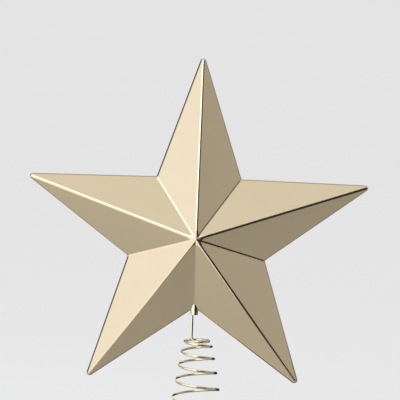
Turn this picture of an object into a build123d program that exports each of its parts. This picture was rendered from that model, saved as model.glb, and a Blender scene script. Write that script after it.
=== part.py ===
from build123d import *
import os
from math import atan2, cos, degrees, hypot, pi, sin, sqrt, tan

# A tree topper: a hollow faceted star of two pressed halves, which turns on a wire stem that stands
# on a conical coil. The coil goes over the top shoot of the tree. Millimetres, +Z up, and the star
# faces -Y. The origin is on the coil's axis, level with the coil's underside.

# Star pressing
points = 5
point_reach = 139.4  # from the middle to where the two edges of a point would meet
notch_reach = 54.6  # from the middle to the corner between two points
star_rise = 30.8  # from the rim to where the ridges would meet
sheet = 0.6
seam_land = 0.35  # upright strip of the rim beside the seam
tip_bend = 1.7  # bend radii on the hollow side of the sheet
ridge_bend = 1.4
rim_bend = 1.0
apex_bend = 24.0
apex_blunt_share = 0.6  # of the drop at which the blunted middle would only touch the ridges
valley_bend = 2.4  # bend radius on the outer side of the sheet
crown_depth = 3.0  # below the sharp middle, from where all bends narrow towards it

# Wire
wire = 2.0
hairpin_gap = 0.9  # between the two legs of the folded stem
hairpin_height = 27.0  # from the socket's mouth to the top of the fold
folded_leg = 20.0  # straight part of the leg that is folded back
stem_bend = 4.5
bare_stem = 16.0  # upright wire between the coil's bend and the socket's mouth
coil_turns = 7
coil_top_radius = 8.7
coil_bottom_radius = 23.75
pitch_share = 0.775  # of the coil's radius, that a turn goes down: the wire keeps the same slope
ease_share = 1.0  # of a turn, in which the coil's slope grows from level, and dies away again
lead_in_share = 0.25  # of a turn, level, from the stem's bend to the first full turn
arcs_per_turn = 8
wire_end_round = 0.4

# Socket and the plate that steadies it
tube_wall = 0.45
tube_proud = 5.5  # how far the mouth hangs below the star's corner
lip_round_share = 0.45  # of the wall
running_gap = 0.05  # between the folded stem and the socket's bore
crown_gap = 0.2  # between the top of the fold and the closed end of the socket
solder_gap = 0.05
bridge_thickness = 1.2
bridge_width = 14.0
bridge_drop = 3.0  # from the socket's closed end down to the plate's upper face

# How far cutting shapes run past what they cut, and how close counts as touching
overrun = 2.0
touch = 0.01

# Worked out from the star's sizes
half_angle = pi / points
notch_side = notch_reach * sin(half_angle)
notch_height = notch_reach * cos(half_angle)
tip_angle = atan2(notch_side, point_reach - notch_height)
edge_distance = point_reach * sin(tip_angle)
facet_tilt = atan2(star_rise, edge_distance)
ridge_slope = atan2(star_rise, point_reach)
roof_slope = star_rise * (point_reach - notch_height) / (hypot(point_reach, star_rise) * notch_side)
rim_lean = tan((pi / 2 - facet_tilt) / 2)
rim_height = seam_land + (rim_bend + sheet) * rim_lean

# Worked out from the wire's and the socket's sizes
wire_radius = wire / 2
leg_offset = (wire + hairpin_gap) / 2
bore_radius = leg_offset + wire_radius + running_gap
tube_radius = bore_radius + tube_wall
tube_length = hairpin_height + crown_gap + tube_wall
coil_growth = (coil_bottom_radius - coil_top_radius) / coil_turns  # gain of radius in each turn


def eased_radius(turns, end_radius, growth):
    """The radius added up over so many turns from an end of the coil, which starts level."""
    share = min(max(turns / ease_share, 0), 1)
    steady = max(turns, ease_share)
    level = end_radius * (share**3 - share**4 / 2)
    widening = growth * ease_share * (3 * share**4 / 4 - 2 * share**5 / 5)
    rest = end_radius * (steady - ease_share) + growth * (steady**2 - ease_share**2) / 2
    return ease_share * (level + widening) + rest


upper_drop = pitch_share * eased_radius(coil_turns / 2, coil_top_radius, coil_growth)
lower_drop = pitch_share * eased_radius(coil_turns / 2, coil_bottom_radius, -coil_growth)
coil_top = wire_radius + lower_drop + upper_drop


def coil_point(turn):
    """A point of the coil's centre line, counted in turns from the right of the top turn."""
    radius = coil_top_radius + coil_growth * turn
    angle = 2 * pi * turn
    if 2 * turn < coil_turns:
        height = coil_top - pitch_share * eased_radius(turn, coil_top_radius, coil_growth)
    else:
        height = wire_radius + pitch_share * eased_radius(coil_turns - turn, coil_bottom_radius, -coil_growth)
    return Vector(radius * cos(angle), radius * sin(angle), height)


def coil_direction(turn):
    """The way that the centre line runs there, down the coil."""
    radius = coil_top_radius + coil_growth * turn
    angle = 2 * pi * turn
    share = min(max(min(turn, coil_turns - turn) / ease_share, 0), 1)
    outwards = Vector(cos(angle), sin(angle), 0) * coil_growth
    around = Vector(-sin(angle), cos(angle), 0) * (2 * pi * radius)
    down = Vector(0, 0, -pitch_share * radius) * (share**2 * (3 - 2 * share))
    return (outwards + around + down).normalized()


def biarc_middle(start, start_direction, end, end_direction):
    """Where the two arcs of a smooth path from start to end meet, and the way they run there."""
    chord = end - start
    square = 2 * (1 - start_direction.dot(end_direction))
    linear = 2 * chord.dot(start_direction + end_direction)
    handle = (sqrt(linear**2 + 4 * square * chord.dot(chord)) - linear) / (2 * square)
    first = start + start_direction * handle
    second = end - end_direction * handle
    return (first + second) / 2, (second - first).normalized()


# Coil: one unbroken wire, from the foot of the stem round its bend and down the cone
biarcs = round(arcs_per_turn / 2 * (coil_turns + lead_in_share))
marks = [(coil_turns + lead_in_share) * step / biarcs - lead_in_share for step in range(biarcs + 1)]
coil_start = coil_point(marks[0])
stem_foot = coil_start - coil_direction(marks[0]) * stem_bend + Vector(0, 0, stem_bend)
arcs = []

with BuildPart() as coil_spring:
    with BuildLine() as coil_line:
        TangentArc(stem_foot, coil_start, tangent=(0, 0, -1))
        for mark, next_mark in zip(marks, marks[1:]):
            start, end = coil_point(mark), coil_point(next_mark)
            heading, end_heading = coil_direction(mark), coil_direction(next_mark)
            middle, middle_heading = biarc_middle(start, heading, end, end_heading)
            arcs.append(TangentArc(start, middle, tangent=heading))
            arcs.append(TangentArc(middle, end, tangent=middle_heading))
    with BuildSketch(Plane(stem_foot, x_dir=(1, 0, 0), z_dir=(0, 0, -1))):
        Circle(wire_radius)
    sweep()
    fillet(coil_spring.faces().sort_by_distance(coil_point(coil_turns))[0].edges(), wire_end_round)

# The least gap between turns, on points along the arcs that are half a turn or more apart
sample_shares = (0, 0.25, 0.5, 0.75)
samples = [(number, arc @ share) for number, arc in enumerate(arcs) for share in sample_shares]
least_gap = min(
    (place - other_place).length - wire
    for number, place in samples
    for other_number, other_place in samples
    if other_number - number >= arcs_per_turn / 2
)
print("least gap between the coil's turns", round(least_gap, 2), "mm")

# The star's axis is the socket's axis: the stem stands against one side of the bore
star_x = stem_foot.X + leg_offset
star_y = stem_foot.Y
mouth_z = stem_foot.Z + bare_stem
star_z = mouth_z + tube_proud + notch_reach
socket_plane = Plane((star_x, star_y, mouth_z))
stem_plane = Plane((star_x, star_y, mouth_z), x_dir=(1, 0, 0), z_dir=(0, -1, 0))
front_plane = Plane((star_x, star_y, star_z), x_dir=(1, 0, 0), z_dir=(0, -1, 0))
rear_plane = Plane((star_x, star_y, star_z), x_dir=(-1, 0, 0), z_dir=(0, 1, 0))

# Stem: the same wire, folded back on itself to fill the socket's bore
fold_height = hairpin_height - wire_radius - leg_offset

with BuildPart() as stem:
    with BuildLine(stem_plane):
        Line((-leg_offset, -bare_stem), (-leg_offset, fold_height))
        ThreePointArc(
            (-leg_offset, fold_height),
            (0, fold_height + leg_offset),
            (leg_offset, fold_height),
        )
        Line((leg_offset, fold_height), (leg_offset, fold_height - folded_leg))
    with BuildSketch(Plane(stem_foot)):
        Circle(wire_radius)
    sweep()

# Socket: a thin tube, closed at its upper end
with BuildPart() as socket_tube:
    with BuildSketch(socket_plane):
        Circle(tube_radius)
    extrude(amount=tube_length)
    with BuildSketch(socket_plane):
        Circle(bore_radius)
    extrude(amount=tube_length - tube_wall, mode=Mode.SUBTRACT)
    fillet(socket_tube.faces().sort_by(Axis.Z)[0].edges(), lip_round_share * tube_wall)
    fillet(socket_tube.faces().sort_by(Axis.Z)[-1].edges(), tube_wall)


def in_valley(edge):
    """Whether an edge of the star lies midway between two points."""
    place = edge @ 0.5
    turn = atan2(place.X, place.Y) % (2 * half_angle) - half_angle
    return abs(turn) * hypot(place.X, place.Y) < touch


def star_half(inset, below):
    """Half of the star as a solid along +Z, with all its faces moved in by inset."""
    scale = (edge_distance - inset) / edge_distance
    reach = point_reach * scale
    rise = star_rise * scale
    rim = rim_height - inset * rim_lean
    spread = 2 * reach * tan(tip_angle)
    eaves = roof_slope * reach
    sector_x = 2 * reach * sin(half_angle)
    sector_y = 2 * reach * cos(half_angle)
    roof_plane = Plane((0, 0, rim + rise), x_dir=(1, 0, 0), z_dir=(0, -reach, rise))
    ridge_radius = ridge_bend + sheet - inset
    crown = rim + rise - crown_depth

    # One point of the star, carried on past the middle, under a roof along its ridge
    with BuildPart() as arm:
        with BuildSketch(Plane.XY.offset(-below)):
            Polygon((0, reach), (-spread, -reach), (spread, -reach), align=None)
        extrude(amount=2 * reach)
        with BuildSketch(roof_plane):
            with BuildLine():
                Polyline((0, 0), (-reach, -eaves), (-reach, -2 * reach), (0, -2 * reach))
                mirror(about=Plane.YZ)
            make_face()
        extrude(amount=2 * reach, both=True, mode=Mode.INTERSECT)
        fillet(arm.edges().filter_by(Axis.Z).sort_by(Axis.Y)[-1], tip_bend + sheet - inset)
        middle_edges = arm.edges().filter_by_position(Axis.X, -touch, touch)
        fillet(middle_edges.sort_by(Axis.Z)[-1], ridge_radius)
        rim_edges = arm.edges().filter_by_position(Axis.Z, rim - touch, rim + rise / 2)
        fillet(rim_edges, rim_bend + sheet - inset)
        # Only its own sector of the star stays, up to the crown
        with BuildSketch(Plane.XY.offset(-below)):
            Polygon((0, 0), (sector_x, sector_y), (-sector_x, sector_y), align=None)
        extrude(amount=crown + below, mode=Mode.INTERSECT)

    # All points together, with rounded valleys and a crown that closes to a shallow dome
    ridge_drop = ridge_radius * (hypot(1, roof_slope) - 1) / cos(ridge_slope)
    crown_slope = atan2(crown_depth * tan(ridge_slope), crown_depth - ridge_drop)
    dome = apex_bend + sheet - inset
    dome_top = rim + rise - apex_blunt_share * dome * (1 / cos(crown_slope) - 1)
    dome_side = dome * sin(crown_slope)
    dome_foot = dome_top - dome * (1 - cos(crown_slope))
    above = dome_top + overrun
    with BuildPart() as half:
        with PolarLocations(0, points, start_angle=degrees(half_angle) - 180):
            add(arm.part)
        fillet(half.edges().filter_by(in_valley), valley_bend + inset)
        loft(sections=[half.faces().sort_by(Axis.Z)[-1], Vertex(0, 0, rim + rise)], ruled=True)
        with BuildSketch(Plane.XZ):
            with BuildLine():
                RadiusArc((0, dome_top), (dome_side, dome_foot), dome)
                Polyline((dome_side, dome_foot), (dome_side, above), (0, above), (0, dome_top))
            make_face()
        revolve(axis=Axis.Z, mode=Mode.SUBTRACT)
    return half.part


# Star: the same pressing twice, with a half-round notch for the socket in the lowest corner
with BuildPart() as pressing:
    add(star_half(0, 0))
    add(star_half(sheet, overrun), mode=Mode.SUBTRACT)
    with BuildSketch(Plane.XZ.offset(notch_reach + overrun)):
        Circle(tube_radius + solder_gap)
    extrude(amount=-(tube_length - tube_proud + overrun), mode=Mode.SUBTRACT)

with BuildPart(front_plane) as front_shell:
    add(pressing.part)

with BuildPart(rear_plane) as rear_shell:
    add(pressing.part)

# Bridge: a plate across the hollow, cut to the shells' inner faces, round the upper end of the socket
bridge_plane = socket_plane.offset(tube_length - bridge_drop - bridge_thickness)
star_depth = 2 * (rim_height + star_rise)

with BuildPart(front_plane, rear_plane) as hollow:
    add(star_half(sheet + solder_gap, 0))

with BuildPart() as tube_bridge:
    with BuildSketch(bridge_plane):
        Rectangle(bridge_width, star_depth)
        Circle(tube_radius + solder_gap, mode=Mode.SUBTRACT)
    extrude(amount=bridge_thickness)
    add(hollow.part, mode=Mode.INTERSECT)

pieces = {
    "front_shell": front_shell,
    "rear_shell": rear_shell,
    "socket_tube": socket_tube,
    "tube_bridge": tube_bridge,
    "stem": stem,
    "coil_spring": coil_spring,
}
os.makedirs("parts", exist_ok=True)
for name, piece in pieces.items():
    piece.part.label = name
    export_step(piece.part, f"parts/{name}.step")

print("star axis at", round(star_x, 3), round(star_y, 3), "middle of the star at", round(star_z, 3))
print("socket mouth at", round(mouth_z, 3), "foot of the stem at", round(stem_foot.Z, 3))
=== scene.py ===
from math import atan2, cos, pi, radians, sin, tan

import bmesh
import bpy
from mathutils import Matrix, Vector


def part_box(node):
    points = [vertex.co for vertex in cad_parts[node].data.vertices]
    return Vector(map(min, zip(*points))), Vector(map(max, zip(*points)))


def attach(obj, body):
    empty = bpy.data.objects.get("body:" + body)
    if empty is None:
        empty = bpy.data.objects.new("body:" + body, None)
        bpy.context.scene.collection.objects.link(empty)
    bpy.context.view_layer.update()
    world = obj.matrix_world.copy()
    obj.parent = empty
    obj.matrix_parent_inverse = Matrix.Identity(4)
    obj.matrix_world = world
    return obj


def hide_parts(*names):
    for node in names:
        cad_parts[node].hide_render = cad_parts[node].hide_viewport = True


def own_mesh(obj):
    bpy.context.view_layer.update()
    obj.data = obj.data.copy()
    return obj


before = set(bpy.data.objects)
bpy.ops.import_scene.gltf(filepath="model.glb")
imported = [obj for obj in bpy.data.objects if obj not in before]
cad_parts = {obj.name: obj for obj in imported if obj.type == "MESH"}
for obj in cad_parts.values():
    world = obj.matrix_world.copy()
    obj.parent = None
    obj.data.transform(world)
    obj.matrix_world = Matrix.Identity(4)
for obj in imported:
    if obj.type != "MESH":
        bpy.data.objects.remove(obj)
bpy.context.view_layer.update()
scene = bpy.context.scene

# Star pressing, in metres
POINTS = 5
POINT_REACH = 0.1394  # from the middle to where the two edges of a point would meet
NOTCH_REACH = 0.0546  # from the middle to the corner between two points
STAR_RISE = 0.0308  # from the rim to where the ridges would meet
RIM_HEIGHT = 0.001194
RIM_SLOPE = radians(80)
SHEET = 0.0006
RIDGE_RADIUS = 0.0020
VALLEY_RADIUS = 0.0029
RIM_RADIUS = 0.0028
NOTCH_RADIUS = 0.0012
BEND_SEGMENTS = 6
TIP_RADIUS = 0.0023
TIP_SECTIONS = 10
TIP_BREAK = 0.0006
CROWN_DEPTH = 0.0018
CROWN_LEVELS = 10
CROWN_FLATNESS = 0.75
NOTCH_GAP = 0.00005
FACET_EDGE = radians(40)  # edges that turn by more than this stay sharp to the eye

# Wire
WIRE_RADIUS = 0.001
WIRE_SIDES = 6
WIRE_ORDER = 4
WIRE_RESOLUTION = 2
WIRE_EDGE = radians(50)
WIRE_END_ROUND = 0.0004
END_SEGMENTS = 4
END_REACH = 1.2 * WIRE_RADIUS  # from the wire's end, where only the faces of its flat end lie
STEM_STEPS = 12
FOLD_STEPS = 12
LEG_STEPS = 6
FOLDED_LEG = 0.020
COIL_TURNS = 7
COIL_TOP_RADIUS = 0.0087
COIL_BOTTOM_RADIUS = 0.02375
PITCH_SHARE = 0.775  # of the coil's radius, that a turn goes down
EASE = 1.0  # turns in which the coil's slope grows from level, and dies away again
LEAD_IN = 0.25  # of a turn, from the stem's bend to the first full turn
STEM_BEND = 0.0045
BEND_POINTS = 6
POINTS_A_TURN = 36

# Socket
TUBE_WALL = 0.00045
TUBE_TOP_SEGMENTS = 5
LIP_ROUND = 0.0002
LIP_SEGMENTS = 4
RING_HEIGHT = 0.0020
RING_STEP = 0.00012
TUBE_STEPS = 64
TUBE_EDGE = radians(30)

# How near counts as the same place
CUT_TOUCH = 1e-7
WIRE_MERGE = 1e-6
TUBE_MERGE = 1e-7
SLIVER = 0.00002
AT_MIDDLE = 1e-5

half_angle = pi / POINTS
notch_side = NOTCH_REACH * sin(half_angle)
notch_height = NOTCH_REACH * cos(half_angle)
tip_angle = atan2(notch_side, POINT_REACH - notch_height)
edge_distance = POINT_REACH * sin(tip_angle)
facet_tilt = atan2(STAR_RISE, edge_distance)
rim_top = RIM_HEIGHT / (1 - tan(facet_tilt) / tan(RIM_SLOPE))
rim_inset = rim_top / tan(RIM_SLOPE)
middle_reach = (POINT_REACH + NOTCH_REACH) / 2  # tells a point's end from a corner between points

shell_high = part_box("front_shell")[1]
tube_low, tube_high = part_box("socket_tube")
stem_low, stem_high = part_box("stem")
tube_radius = (tube_high.x - tube_low.x) / 2
star_x = (tube_low.x + tube_high.x) / 2
star_y = shell_high.y
star_z = shell_high.z - (POINT_REACH - TIP_RADIUS * (1 / sin(tip_angle) - 1))
star_middle = Vector((star_x, star_y, star_z))


def add_piece(name, bm):
    """A bmesh as a new object of the scene, smooth all over."""
    mesh = bpy.data.meshes.new(name)
    bm.to_mesh(mesh)
    bm.free()
    mesh.shade_smooth()
    piece = bpy.data.objects.new(name, mesh)
    scene.collection.objects.link(piece)
    return piece


def shaped_mesh(piece):
    """A new mesh of a piece as its modifiers or its curve settings leave it."""
    bpy.context.view_layer.update()
    graph = bpy.context.evaluated_depsgraph_get()
    return bpy.data.meshes.new_from_object(piece.evaluated_get(graph), depsgraph=graph)


def settle(piece):
    """Applies all of a piece's modifiers to its mesh."""
    finished = shaped_mesh(piece)
    finished.name = piece.name
    piece.modifiers.clear()
    old = piece.data
    piece.data = finished
    bpy.data.meshes.remove(old)


def bend_share(turn, radius):
    """How far a bend of that radius reaches from its sharp edge along either face."""
    return radius * tan(turn / 2)


def facet_turn(plan_turn):
    """Angle between the normals of two facets whose edges turn so far in plan."""
    half_sine = sin(facet_tilt) * sin(plan_turn / 2)
    return 2 * atan2(half_sine, (1 - half_sine**2) ** 0.5)


valley_plan_turn = pi - 2 * tip_angle - 2 * half_angle
notch_bend = bend_share(valley_plan_turn, NOTCH_RADIUS)
ridge_bend = bend_share(facet_turn(pi - 2 * tip_angle), RIDGE_RADIUS)
valley_bend = bend_share(facet_turn(valley_plan_turn), VALLEY_RADIUS)
rim_bend = bend_share(RIM_SLOPE - facet_tilt, RIM_RADIUS)
widest_bend = max(notch_bend, ridge_bend, valley_bend, rim_bend)


def sharp_star():
    """The star's facets and the leaning wall round its rim, all edges sharp, facing up."""
    bm = bmesh.new()
    bmesh.ops.create_circle(bm, segments=2 * POINTS, radius=1, cap_ends=True, cap_tris=True)
    middle = min(bm.verts, key=lambda vert: vert.co.length)
    for vert in bm.verts:
        step = round(atan2(vert.co.x, vert.co.y) / half_angle)
        reach = NOTCH_REACH if step % 2 else POINT_REACH
        if vert is not middle:
            vert.co = Vector((sin(step * half_angle), cos(step * half_angle), 0)) * reach
    rim = [edge for edge in bm.edges if edge.is_boundary]
    walls = bmesh.ops.extrude_edge_only(bm, edges=rim)["geom"]
    foot = {item for item in walls if isinstance(item, bmesh.types.BMVert)}
    for vert in bm.verts:
        if vert not in foot:
            vert.co = vert.co * (1 - rim_inset / edge_distance) + Vector((0, 0, rim_top))
    middle.co = Vector((0, 0, RIM_HEIGHT + STAR_RISE))
    bmesh.ops.recalc_face_normals(bm, faces=bm.faces)
    return bm


def edge_bend(edge):
    """How far the bend reaches that goes along an edge of the sharp star."""
    distances = [vert.co.xy.length for vert in edge.verts]
    outer_end = max(distances) > middle_reach
    if min(distances) < AT_MIDDLE:
        return ridge_bend if outer_end else valley_bend
    walls = [abs(face.normal.z) < cos(facet_tilt) / 2 for face in edge.link_faces]
    if walls[0] != walls[1]:
        return rim_bend
    return TIP_BREAK if outer_end else notch_bend


def round_tips(bm):
    """Cuts sections close together near each point and draws them back onto the tip's circle."""
    tip_middle = POINT_REACH - TIP_RADIUS / sin(tip_angle)
    for arm in range(POINTS):
        arm_turn = 2 * half_angle * arm
        along = Vector((sin(arm_turn), cos(arm_turn), 0))
        for section in range(1, TIP_SECTIONS + 1):
            half_width = TIP_RADIUS * sin((pi / 2 - tip_angle) * section / TIP_SECTIONS)
            near = [f for f in bm.faces if f.calc_center_median().xy.angle(along.xy, pi) < half_angle]
            edges = [edge for face in near for edge in face.edges]
            verts = [vert for face in near for vert in face.verts]
            bmesh.ops.bisect_plane(
                bm, geom=list(dict.fromkeys(near + edges + verts)), dist=CUT_TOUCH, plane_no=along,
                plane_co=along * (POINT_REACH - half_width / tan(tip_angle)))
        for vert in bm.verts:
            half_width = (POINT_REACH - vert.co.dot(along)) * tan(tip_angle)
            if half_width < TIP_RADIUS * cos(tip_angle):
                drawn = tip_middle + (TIP_RADIUS**2 - max(half_width, 0) ** 2) ** 0.5
                vert.co += along * (drawn - vert.co.dot(along))


def flatten_crown(bm):
    """Cuts level sections near the middle, where all bends flatten out together."""
    crown_foot = max(vert.co.z for vert in bm.verts) - CROWN_DEPTH
    for level in range(CROWN_LEVELS):
        bmesh.ops.bisect_plane(
            bm, geom=bm.verts[:] + bm.edges[:] + bm.faces[:], dist=CUT_TOUCH, plane_no=(0, 0, 1),
            plane_co=(0, 0, crown_foot + CROWN_DEPTH * level / CROWN_LEVELS))
    for vert in bm.verts:
        above = max(vert.co.z - crown_foot, 0)
        vert.co.z -= CROWN_FLATNESS * above**2 / (2 * CROWN_DEPTH)


def notch_cutter():
    """A round bar that cuts the tube's notch into the star's lowest corner."""
    bm = bmesh.new()
    radius = tube_radius + NOTCH_GAP
    bmesh.ops.create_cone(
        bm, cap_ends=True, segments=TUBE_STEPS, radius1=radius, radius2=radius,
        depth=tube_high.z - tube_low.z,
        matrix=Matrix.Translation((star_x, star_y, (tube_low.z + tube_high.z) / 2)))
    return add_piece("notch_cutter", bm)


def pressed_half(name, side):
    """One pressed half of the star: side 1 faces forwards, and side -1 backwards."""
    bm = sharp_star()
    weight = bm.edges.layers.float.new("bevel_weight_edge")
    for edge in bm.edges:
        if not edge.is_boundary:
            edge[weight] = edge_bend(edge) / widest_bend
    piece = add_piece(name, bm)
    bends = piece.modifiers.new("bends", "BEVEL")
    bends.limit_method = "WEIGHT"
    bends.offset_type = "OFFSET"
    bends.width = widest_bend
    bends.segments = BEND_SEGMENTS
    bends.profile = 0.5
    bends.use_clamp_overlap = False
    settle(piece)

    # The rounded sheet, moved to its place with its crown towards the front or the back
    bm = bmesh.new()
    bm.from_mesh(piece.data)
    round_tips(bm)
    flatten_crown(bm)
    bmesh.ops.remove_doubles(bm, verts=bm.verts, dist=SLIVER)
    place = Matrix.Translation(star_middle) @ Matrix((
        (side, 0, 0, 0), (0, 0, -side, 0), (0, 1, 0, 0), (0, 0, 0, 1)))
    bmesh.ops.transform(bm, matrix=place, verts=bm.verts)
    bm.to_mesh(piece.data)
    bm.free()

    # The wall and the notch
    wall = piece.modifiers.new("sheet", "SOLIDIFY")
    wall.thickness = SHEET
    wall.offset = -1
    wall.use_even_offset = True
    cutter = notch_cutter()
    notch_cut = piece.modifiers.new("notch", "BOOLEAN")
    notch_cut.operation = "DIFFERENCE"
    notch_cut.solver = "EXACT"
    notch_cut.object = cutter
    settle(piece)
    bpy.data.objects.remove(cutter)
    bm = bmesh.new()
    bm.from_mesh(piece.data)
    bmesh.ops.remove_doubles(bm, verts=bm.verts, dist=SLIVER)
    bm.to_mesh(piece.data)
    bm.free()

    piece.data.shade_smooth()
    piece.data.set_sharp_from_angle(angle=FACET_EDGE)
    even = piece.modifiers.new("flat_facets", "WEIGHTED_NORMAL")
    even.keep_sharp = True
    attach(piece, "star")
    return piece


star_front = pressed_half("star_front", 1)
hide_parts("front_shell")
star_rear = pressed_half("star_rear", -1)
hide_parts("rear_shell")


def socket_piece():
    """The thin tube, closed above, with a fine ring line near its mouth."""
    bore = tube_radius - TUBE_WALL
    mouth, top = tube_low.z, tube_high.z
    ring = mouth + RING_HEIGHT
    profile = [
        (0, top), (tube_radius, top), (tube_radius, ring + RING_STEP), (tube_radius - RING_STEP, ring),
        (tube_radius, ring - RING_STEP), (tube_radius, mouth), (bore, mouth), (bore, top - TUBE_WALL),
        (0, top - TUBE_WALL),
    ]
    bm = bmesh.new()
    verts = [bm.verts.new((radius, 0, height)) for radius, height in profile]
    for start, end in zip(verts, verts[1:]):
        bm.edges.new((start, end))
    tube_top, lip = verts[1:2], verts[5:7]
    bmesh.ops.bevel(
        bm, geom=tube_top, offset=TUBE_WALL, segments=TUBE_TOP_SEGMENTS, profile=0.5, affect="VERTICES",
        material=-1)
    bmesh.ops.bevel(
        bm, geom=lip, offset=LIP_ROUND, segments=LIP_SEGMENTS, profile=0.5, affect="VERTICES",
        material=-1)
    bmesh.ops.spin(
        bm, geom=bm.verts[:] + bm.edges[:], cent=(0, 0, 0), axis=(0, 0, 1), angle=2 * pi,
        steps=TUBE_STEPS, use_merge=True)
    bmesh.ops.remove_doubles(bm, verts=bm.verts, dist=TUBE_MERGE)
    bmesh.ops.recalc_face_normals(bm, faces=bm.faces)
    bmesh.ops.translate(bm, verts=bm.verts, vec=(star_x, star_y, 0))
    piece = add_piece("socket", bm)
    piece.data.set_sharp_from_angle(angle=TUBE_EDGE)
    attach(piece, "star")
    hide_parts("socket_tube")
    return piece


socket = socket_piece()


def wire_piece(name, path, round_end):
    """A round wire along a smooth path, with flat ends; the far one is rounded if asked."""
    curve = bpy.data.curves.new(name + "_path", "CURVE")
    curve.dimensions = "3D"
    curve.fill_mode = "FULL"
    curve.bevel_depth = WIRE_RADIUS
    curve.bevel_resolution = WIRE_SIDES
    curve.use_fill_caps = True
    spline = curve.splines.new("NURBS")
    spline.points.add(len(path) - 1)
    for point, place in zip(spline.points, path):
        point.co = (*place, 1)
    spline.order_u = WIRE_ORDER
    spline.use_endpoint_u = True
    spline.resolution_u = WIRE_RESOLUTION
    guide = bpy.data.objects.new(name + "_path", curve)
    scene.collection.objects.link(guide)
    tube = shaped_mesh(guide)
    bm = bmesh.new()
    bm.from_mesh(tube)
    bmesh.ops.remove_doubles(bm, verts=bm.verts, dist=WIRE_MERGE)
    bmesh.ops.recalc_face_normals(bm, faces=bm.faces)
    if round_end:
        end = Vector(path[-1])
        flat = [f for f in bm.faces if all((v.co - end).length < END_REACH for v in f.verts)]
        disc = bmesh.ops.dissolve_faces(bm, faces=flat)["region"][0]
        bmesh.ops.bevel(
            bm, geom=disc.edges[:], offset=WIRE_END_ROUND, segments=END_SEGMENTS, profile=0.5,
            affect="EDGES", material=-1)
    bpy.data.objects.remove(guide)
    bpy.data.meshes.remove(tube)
    piece = add_piece(name, bm)
    piece.data.set_sharp_from_angle(angle=WIRE_EDGE)
    return piece


# Stem: up one side of the socket's bore, over the fold and down the other side
left_leg = stem_low.x + WIRE_RADIUS
right_leg = stem_high.x - WIRE_RADIUS
fold_radius = (right_leg - left_leg) / 2
fold_height = stem_high.z - WIRE_RADIUS - fold_radius
stem_foot = Vector((left_leg, star_y, stem_low.z))
stem_rise = Vector((0, 0, fold_height - stem_foot.z))
stem_path = [stem_foot + stem_rise * step / STEM_STEPS for step in range(STEM_STEPS)]
for step in range(FOLD_STEPS + 1):
    turn = pi * step / FOLD_STEPS
    across, rise = fold_radius * cos(turn), fold_radius * sin(turn)
    stem_path.append(Vector((star_x - across, star_y, fold_height + rise)))
for step in range(1, LEG_STEPS + 1):
    stem_path.append(Vector((right_leg, star_y, fold_height - FOLDED_LEG * step / LEG_STEPS)))
upright = wire_piece("upright_wire", stem_path, False)
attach(upright, "upright")
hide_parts("stem")


# Coil: from the stem's foot round a bend and down a cone, at a slope that stays the same
coil_growth = (COIL_BOTTOM_RADIUS - COIL_TOP_RADIUS) / COIL_TURNS


def eased_radius(turns, end_radius, growth):
    """The radius added up over so many turns from an end of the coil, which starts level."""
    share = min(max(turns / EASE, 0), 1)
    steady = max(turns, EASE)
    level = end_radius * (share**3 - share**4 / 2)
    widening = growth * EASE * (3 * share**4 / 4 - 2 * share**5 / 5)
    rest = end_radius * (steady - EASE) + growth * (steady**2 - EASE**2) / 2
    return EASE * (level + widening) + rest


def drop_from_top(turns):
    """How far the wire goes down in so many turns from the coil's top."""
    return PITCH_SHARE * eased_radius(turns, COIL_TOP_RADIUS, coil_growth)


def rise_from_bottom(turns):
    """How far the wire goes up in so many turns from the coil's bottom."""
    return PITCH_SHARE * eased_radius(turns, COIL_BOTTOM_RADIUS, -coil_growth)


coil_top = WIRE_RADIUS + rise_from_bottom(COIL_TURNS / 2) + drop_from_top(COIL_TURNS / 2)


def coil_point(turn):
    """A point of the coil's centre line, counted in turns from the right of the top turn."""
    radius = COIL_TOP_RADIUS + coil_growth * turn
    if 2 * turn < COIL_TURNS:
        height = coil_top - drop_from_top(turn)
    else:
        height = WIRE_RADIUS + rise_from_bottom(COIL_TURNS - turn)
    return Vector((radius * cos(2 * pi * turn), radius * sin(2 * pi * turn), height))


coil_start = coil_point(-LEAD_IN)
ahead = Vector((coil_start.x - stem_foot.x, coil_start.y - stem_foot.y, 0))
down = Vector((0, 0, STEM_BEND))
coil_path = []
for step in range(BEND_POINTS):
    turn = pi / 2 * step / BEND_POINTS
    coil_path.append(stem_foot + ahead * (1 - cos(turn)) - down * sin(turn))
wound_turns = COIL_TURNS + LEAD_IN
wound_points = round(wound_turns * POINTS_A_TURN)
for step in range(wound_points + 1):
    coil_path.append(coil_point(wound_turns * step / wound_points - LEAD_IN))
coil = wire_piece("coil_wire", coil_path, True)
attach(coil, "base")
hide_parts("coil_spring")
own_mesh(coil)


# Finishes
def principled(name):
    """A new material, with its nodes, links and shader."""
    material = bpy.data.materials.new(name)
    material.use_nodes = True
    nodes, links = material.node_tree.nodes, material.node_tree.links
    return material, nodes, links, nodes["Principled BSDF"]


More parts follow.
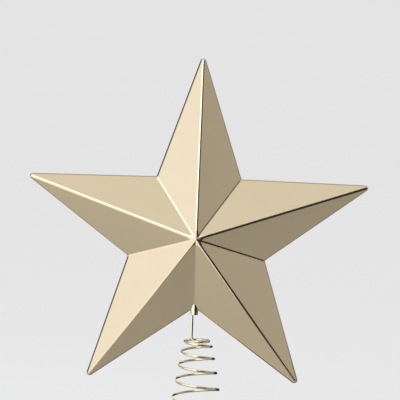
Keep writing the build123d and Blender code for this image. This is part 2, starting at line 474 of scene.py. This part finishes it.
def fine_grain_group():
    """Cloudy tone and fine grain of a plated or lacquered surface."""
    group = bpy.data.node_groups.new("fine_grain", "ShaderNodeTree")
    for name, kind, way in (
        ("Colour", "NodeSocketColor", "INPUT"), ("Cloud scale", "NodeSocketFloat", "INPUT"),
        ("Cloud amount", "NodeSocketFloat", "INPUT"), ("Grain scale", "NodeSocketFloat", "INPUT"),
        ("Roughness", "NodeSocketFloat", "INPUT"), ("Roughness spread", "NodeSocketFloat", "INPUT"),
        ("Colour", "NodeSocketColor", "OUTPUT"), ("Roughness", "NodeSocketFloat", "OUTPUT"),
        ("Height", "NodeSocketFloat", "OUTPUT"),
    ):
        group.interface.new_socket(name=name, in_out=way, socket_type=kind)
    nodes, links = group.nodes, group.links
    put_in = nodes.new("NodeGroupInput")
    put_out = nodes.new("NodeGroupOutput")
    place = nodes.new("ShaderNodeTexCoord")
    cloud = nodes.new("ShaderNodeTexNoise")
    cloud.inputs["Detail"].default_value = 3
    grain = nodes.new("ShaderNodeTexNoise")
    grain.inputs["Detail"].default_value = 2
    links.new(place.outputs["Object"], cloud.inputs["Vector"])
    links.new(place.outputs["Object"], grain.inputs["Vector"])
    links.new(put_in.outputs["Cloud scale"], cloud.inputs["Scale"])
    links.new(put_in.outputs["Grain scale"], grain.inputs["Scale"])

    # Colour: the clouds lighten and darken it by the same amount
    lean = nodes.new("ShaderNodeMath")
    lean.operation = "MULTIPLY_ADD"
    lean.inputs[1].default_value = 2
    lean.inputs[2].default_value = -1
    links.new(cloud.outputs["Fac"], lean.inputs[0])
    tone = nodes.new("ShaderNodeMath")
    tone.operation = "MULTIPLY_ADD"
    tone.inputs[2].default_value = 1
    links.new(lean.outputs[0], tone.inputs[0])
    links.new(put_in.outputs["Cloud amount"], tone.inputs[1])
    shade = nodes.new("ShaderNodeVectorMath")
    shade.operation = "SCALE"
    links.new(put_in.outputs["Colour"], shade.inputs[0])
    links.new(tone.outputs[0], shade.inputs["Scale"])

    # Roughness: the grain spreads it about its middle value
    rough_lean = nodes.new("ShaderNodeMath")
    rough_lean.operation = "SUBTRACT"
    rough_lean.inputs[1].default_value = 0.5
    links.new(grain.outputs["Fac"], rough_lean.inputs[0])
    rough = nodes.new("ShaderNodeMath")
    rough.operation = "MULTIPLY_ADD"
    links.new(rough_lean.outputs[0], rough.inputs[0])
    links.new(put_in.outputs["Roughness spread"], rough.inputs[1])
    links.new(put_in.outputs["Roughness"], rough.inputs[2])

    links.new(shade.outputs[0], put_out.inputs["Colour"])
    links.new(rough.outputs[0], put_out.inputs["Roughness"])
    links.new(grain.outputs["Fac"], put_out.inputs["Height"])
    return group


fine_grain = fine_grain_group()


def plated(name, colour, cloud_scale, cloud_amount, grain, roughness, spread, bump):
    """A metal finish with the fine grain; bump is the grain's height in metres."""
    material, nodes, links, shader = principled(name)
    surface = nodes.new("ShaderNodeGroup")
    surface.node_tree = fine_grain
    surface.inputs["Colour"].default_value = (*colour, 1)
    surface.inputs["Cloud scale"].default_value = cloud_scale
    surface.inputs["Cloud amount"].default_value = cloud_amount
    surface.inputs["Grain scale"].default_value = grain
    surface.inputs["Roughness"].default_value = roughness
    surface.inputs["Roughness spread"].default_value = spread
    relief = nodes.new("ShaderNodeBump")
    relief.inputs["Strength"].default_value = 1
    relief.inputs["Distance"].default_value = bump
    links.new(surface.outputs["Height"], relief.inputs["Height"])
    links.new(surface.outputs["Colour"], shader.inputs["Base Color"])
    links.new(surface.outputs["Roughness"], shader.inputs["Roughness"])
    links.new(relief.outputs["Normal"], shader.inputs["Normal"])
    shader.inputs["Metallic"].default_value = 1
    return material, nodes, links, shader, surface


SATIN_COAT = 0.25
SATIN_COAT_ROUGHNESS = 0.22
# Painted shade: the rim's colour darkens towards the seam between the halves, standing in for the dark
# reflection along the rim's bend
PAINTED_RIM_SHADE_WITHIN = 0.0010  # of the seam, where the painted rim shade is darkest
PAINTED_RIM_SHADE_CLEAR_FROM = 0.0017
PAINTED_RIM_SHADE_TONE = 0.6


def satin_gold():
    """The star's lacquered satin gold, with painted shade that darkens its rim towards the seam between
    the halves.
    """
    material, nodes, links, shader, surface = plated(
        "satin_champagne_gold", (0.80, 0.665, 0.44), cloud_scale=40, cloud_amount=0.03, grain=2600,
        roughness=0.21, spread=0.10, bump=0.000006)
    shader.inputs["Coat Weight"].default_value = SATIN_COAT
    shader.inputs["Coat Roughness"].default_value = SATIN_COAT_ROUGHNESS
    place = nodes.new("ShaderNodeTexCoord")
    split = nodes.new("ShaderNodeSeparateXYZ")
    links.new(place.outputs["Object"], split.inputs[0])
    from_seam = nodes.new("ShaderNodeMath")
    from_seam.operation = "SUBTRACT"
    from_seam.inputs[1].default_value = star_y
    links.new(split.outputs["Y"], from_seam.inputs[0])
    distance = nodes.new("ShaderNodeMath")
    distance.operation = "ABSOLUTE"
    links.new(from_seam.outputs[0], distance.inputs[0])
    # painted shade: darkens the star's colour on the rim near the seam
    painted_rim_shade = nodes.new("ShaderNodeMapRange")
    painted_rim_shade.interpolation_type = "SMOOTHSTEP"
    painted_rim_shade.inputs["From Min"].default_value = PAINTED_RIM_SHADE_WITHIN
    painted_rim_shade.inputs["From Max"].default_value = PAINTED_RIM_SHADE_CLEAR_FROM
    painted_rim_shade.inputs["To Min"].default_value = PAINTED_RIM_SHADE_TONE
    painted_rim_shade.inputs["To Max"].default_value = 1
    links.new(distance.outputs[0], painted_rim_shade.inputs["Value"])
    painted_rim_shade_colour = nodes.new("ShaderNodeVectorMath")
    painted_rim_shade_colour.operation = "SCALE"
    links.new(surface.outputs["Colour"], painted_rim_shade_colour.inputs[0])
    links.new(painted_rim_shade.outputs[0], painted_rim_shade_colour.inputs["Scale"])
    links.new(painted_rim_shade_colour.outputs[0], shader.inputs["Base Color"])
    return material


satin = satin_gold()
for piece in (star_front, star_rear):
    piece.data.materials.append(satin)

bright = plated(
    "bright_pale_gold", (0.92, 0.83, 0.62), cloud_scale=300, cloud_amount=0.05, grain=4000,
    roughness=0.12, spread=0.08, bump=0.000004)[0]
for piece in (socket, upright, coil):
    piece.data.materials.append(bright)

steel = plated(
    "bare_steel", (0.55, 0.55, 0.54), cloud_scale=200, cloud_amount=0.06, grain=3000,
    roughness=0.38, spread=0.15, bump=0.00001)[0]
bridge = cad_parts["tube_bridge"]
bridge.data.materials.clear()
bridge.data.materials.append(steel)


# Studio: a pale floor, two soft lamps, boards and cards that only the metal shows, and a grey sky
FLOOR_HALF = 30
FLOOR_LEVEL = -0.0003
FLOOR_LIFT = 0.53  # the floor's own glow to the eye and in reflections
FLOOR_ROUGHNESS = 0.9
FLOOR_MOTTLE = 1.5
FLOOR_COOL = (0.395, 0.395, 0.40, 1)
FLOOR_WARM = (0.41, 0.41, 0.41, 1)


def floor():
    """A wide pale floor, a little mottled, which keeps the object's shadow."""
    bm = bmesh.new()
    bmesh.ops.create_grid(bm, x_segments=1, y_segments=1, size=FLOOR_HALF)
    bmesh.ops.translate(bm, verts=bm.verts, vec=(0, 0, FLOOR_LEVEL))
    piece = add_piece("floor", bm)
    material, nodes, links, shader = principled("pale_floor")
    mottle = nodes.new("ShaderNodeTexNoise")
    mottle.inputs["Scale"].default_value = FLOOR_MOTTLE
    place = nodes.new("ShaderNodeTexCoord")
    links.new(place.outputs["Object"], mottle.inputs["Vector"])
    tint = nodes.new("ShaderNodeMix")
    tint.data_type = "RGBA"
    tint.inputs["A"].default_value = FLOOR_COOL
    tint.inputs["B"].default_value = FLOOR_WARM
    links.new(mottle.outputs["Fac"], tint.inputs["Factor"])
    links.new(tint.outputs["Result"], shader.inputs["Base Color"])
    shader.inputs["Roughness"].default_value = FLOOR_ROUGHNESS
    shader.inputs["Specular IOR Level"].default_value = 0
    path = nodes.new("ShaderNodeLightPath")
    seen = path.outputs["Is Camera Ray"]
    for ray in ("Is Glossy Ray", "Is Transmission Ray"):
        either = nodes.new("ShaderNodeMath")
        either.operation = "MAXIMUM"
        links.new(seen, either.inputs[0])
        links.new(path.outputs[ray], either.inputs[1])
        seen = either.outputs[0]
    lift = nodes.new("ShaderNodeMath")
    lift.operation = "MULTIPLY"
    lift.inputs[1].default_value = FLOOR_LIFT
    links.new(seen, lift.inputs[0])
    shader.inputs["Emission Color"].default_value = (1, 1, 1, 1)
    links.new(lift.outputs[0], shader.inputs["Emission Strength"])
    piece.data.materials.append(material)


floor()


def from_star(azimuth, elevation, distance):
    """A place seen from the star's middle: azimuth counts to the right of straight ahead."""
    turn, rise = radians(azimuth), radians(elevation)
    return star_middle + Vector((sin(turn) * cos(rise), -cos(turn) * cos(rise), sin(rise))) * distance


def soft_light(name, place, width, height, radiance, tint):
    """A rectangular lamp that shines on the star's middle."""
    lamp = bpy.data.lights.new(name, "AREA")
    lamp.shape = "RECTANGLE"
    lamp.size = width
    lamp.size_y = height
    lamp.energy = radiance * pi * width * height
    lamp.color = tint
    holder = bpy.data.objects.new(name, lamp)
    holder.location = place
    holder.rotation_euler = (star_middle - place).to_track_quat("-Z", "Y").to_euler()
    scene.collection.objects.link(holder)


soft_light(
    "front_left_strip", from_star(-24, 33, 1.1), width=0.98, height=0.72, radiance=1.6,
    tint=(0.95, 1.01, 1.15))
soft_light(
    "top_softbox", from_star(0, 68, 1.2), width=1.3, height=0.8, radiance=0.28, tint=(0.97, 1.02, 1.08))


# Reflectors: boards on the floor and upright cards that only show in the metal
PLEAT = 0.002
PLEAT_SLOPE = radians(60)
PLEAT_RISE = PLEAT / 2 * tan(PLEAT_SLOPE)
BOARD_LEVEL = -0.0001


def reflector(name, bm, left_tone, right_tone, tint=(1, 1, 1)):
    """A board seen in reflections alone, with one tone on its left faces and one on its right."""
    piece = add_piece(name, bm)
    material = bpy.data.materials.new(name)
    material.use_nodes = True
    nodes, links = material.node_tree.nodes, material.node_tree.links
    nodes.remove(nodes["Principled BSDF"])
    glow = nodes.new("ShaderNodeEmission")
    glow.inputs["Color"].default_value = (*tint, 1)
    surface = nodes.new("ShaderNodeNewGeometry")
    split = nodes.new("ShaderNodeSeparateXYZ")
    links.new(surface.outputs["True Normal"], split.inputs[0])
    tone = nodes.new("ShaderNodeMapRange")
    tone.inputs["From Min"].default_value = -sin(PLEAT_SLOPE)
    tone.inputs["From Max"].default_value = sin(PLEAT_SLOPE)
    tone.inputs["To Min"].default_value = left_tone
    tone.inputs["To Max"].default_value = right_tone
    links.new(split.outputs["X"], tone.inputs["Value"])
    links.new(tone.outputs[0], glow.inputs["Strength"])
    links.new(glow.outputs[0], nodes["Material Output"].inputs["Surface"])
    piece.data.materials.append(material)
    piece.visible_camera = False
    piece.visible_diffuse = False
    piece.visible_shadow = False


def board(name, across, depth, left_tone, right_tone, pleats=0):
    """A board on the floor, flat or folded into narrow pleats that run away from the viewer."""
    bm = bmesh.new()
    bmesh.ops.create_grid(bm, x_segments=max(2 * pleats, 1), y_segments=1, size=0.5)
    for vert in bm.verts:
        raised = pleats and round((vert.co.x + 0.5) * 2 * pleats) % 2
        vert.co = Vector((
            across[0] + (vert.co.x + 0.5) * (across[1] - across[0]),
            depth[0] + (vert.co.y + 0.5) * (depth[1] - depth[0]),
            BOARD_LEVEL + (PLEAT_RISE if raised else 0)))
    reflector(name, bm, left_tone, right_tone)


def card(name, turn, place, width, height, tone, tint=(1, 1, 1)):
    """An upright card on the floor, turned about the vertical from facing the front."""
    bm = bmesh.new()
    bmesh.ops.create_grid(bm, x_segments=1, y_segments=1, size=0.5)
    stand = Matrix.Translation((place[0], place[1], height / 2)) @ Matrix.Rotation(radians(turn), 4, "Z")
    stand = stand @ Matrix.Rotation(radians(90), 4, "X") @ Matrix.Diagonal((width, height, 1, 1))
    bmesh.ops.transform(bm, matrix=stand, verts=bm.verts)
    reflector(name, bm, tone, tone, tint)


NEAR_DEPTH = 0.115  # of the pleated board, forwards from the star
NEAR_HALF = 0.5
NEAR_TONES = (0.39, 0.53)
REAR_DEPTH = 0.3
COIL_HALF = 0.07
SIDE_TONE = 0.46
COIL_TONE = 0.15
FAR_REACH = 2.2
FAR_REAR = 1.0
FAR_GAP = 0.001
FAR_SPLIT = 0.005  # half the strip between the white and the black board
WHITE_TONE = 1.25
BLACK_TONE = 0.02
RIGHT_TONE = 0.05

near_edge = star_y - NEAR_DEPTH
far_edge = near_edge - FAR_GAP
board("near_board", (-NEAR_HALF, NEAR_HALF), (near_edge, 0), *NEAR_TONES, round(2 * NEAR_HALF / PLEAT))
for name, across, depth, tone in (
    ("rear_left_board", (-NEAR_HALF, -COIL_HALF), (0, REAR_DEPTH), SIDE_TONE),
    ("coil_board", (-COIL_HALF, COIL_HALF), (0, REAR_DEPTH), COIL_TONE),
    ("rear_right_board", (COIL_HALF, NEAR_HALF), (0, REAR_DEPTH), SIDE_TONE),
    ("white_board", (-FAR_REACH, -FAR_SPLIT), (-FAR_REACH, far_edge), WHITE_TONE),
    ("black_board", (FAR_SPLIT, FAR_REACH), (-FAR_REACH, far_edge), BLACK_TONE),
    ("right_board", (NEAR_HALF, FAR_REACH), (near_edge, FAR_REAR), RIGHT_TONE),
):
    board(name, across, depth, tone, tone)
card(
    "left_card", -66, from_star(-66, 0, 1.2), width=0.52, height=1.12, tone=1.165,
    tint=(0.973, 1.005, 1.127))
card(
    "front_left_card", -24, from_star(-24, 0, 1.1), width=0.98, height=0.387, tone=1.30,
    tint=(0.971, 1.006, 1.058))
card("black_flag", 33, from_star(33, 0, 1.2), width=1.2, height=1.12, tone=BLACK_TONE)
card("coil_white_card", 0, (-0.06, 0.055), width=0.12, height=0.085, tone=0.9)
card("coil_black_card", 0, (0.15, 0.055), width=0.3, height=0.085, tone=BLACK_TONE)

# Sky: greys that the facets of the star mirror from the front, the sides, above and behind
world = bpy.data.worlds.new("studio")
world.use_nodes = True
scene.world = world
nodes, links = world.node_tree.nodes, world.node_tree.links
sky = nodes["Background"]
way = nodes.new("ShaderNodeTexCoord")
split = nodes.new("ShaderNodeSeparateXYZ")
links.new(way.outputs["Generated"], split.inputs[0])


def ramp(value, start, end, low=0, high=1):
    """A smooth step from low to high, as value goes from start to end."""
    node = nodes.new("ShaderNodeMapRange")
    node.interpolation_type = "SMOOTHSTEP"
    for name, number in (("From Min", start), ("From Max", end), ("To Min", low), ("To Max", high)):
        node.inputs[name].default_value = number
    links.new(value, node.inputs["Value"])
    return node.outputs[0]


def blend(share, low, high):
    """From low to high by share; both ends are numbers or other greys."""
    node = nodes.new("ShaderNodeMix")
    node.data_type = "FLOAT"
    links.new(share, node.inputs["Factor"])
    for name, end in (("A", low), ("B", high)):
        if isinstance(end, float):
            node.inputs[name].default_value = end
        else:
            links.new(end, node.inputs[name])
    return node.outputs["Result"]


FRONT_GREY = 0.55
REAR_RIGHT_GREY = 0.45
HIGH_GREY = 0.75

across, depth, height = split.outputs
front_right = ramp(height, -0.02, 0.08, low=0.1, high=0.51)
front = blend(ramp(across, 0.5, 0.95), FRONT_GREY, front_right)
rear_left = ramp(depth, 0.15, 0.45, low=0.30, high=0.03)
rear_low = blend(ramp(across, -0.4, 0.4), rear_left, REAR_RIGHT_GREY)
rear = blend(ramp(height, 0.35, 0.6), rear_low, HIGH_GREY)
links.new(blend(ramp(depth, -0.28, -0.08), front, rear), sky.inputs["Color"])

# Camera: a long lens a little above the star, turned slightly on its axis
AZIMUTH, ELEVATION, ROLL = radians(1.2), radians(4.5), radians(2.10)
DISTANCE = 30 * POINT_REACH
AIM = Vector((0.009, 0, 0.196)) * POINT_REACH  # from the star's middle to the picture's
SENSOR = 36
LENS_PIXELS, IMAGE_PIXELS = 5527, 400
FAR_CLIP = 100

back = Vector((sin(AZIMUTH) * cos(ELEVATION), -cos(AZIMUTH) * cos(ELEVATION), sin(ELEVATION)))
right = Vector((cos(AZIMUTH), sin(AZIMUTH), 0))
up = back.cross(right)
rolled_right = right * cos(ROLL) + up * sin(ROLL)
rolled_up = up * cos(ROLL) - right * sin(ROLL)
camera_data = bpy.data.cameras.new("camera")
camera_data.sensor_width = SENSOR
camera_data.lens = LENS_PIXELS * SENSOR / IMAGE_PIXELS
camera_data.clip_end = FAR_CLIP
camera = bpy.data.objects.new("camera", camera_data)
stance = Matrix((rolled_right, rolled_up, back)).transposed().to_4x4()
camera.matrix_world = Matrix.Translation(star_middle + AIM + back * DISTANCE) @ stance
scene.collection.objects.link(camera)
scene.camera = camera
scene.view_settings.view_transform = "Standard"
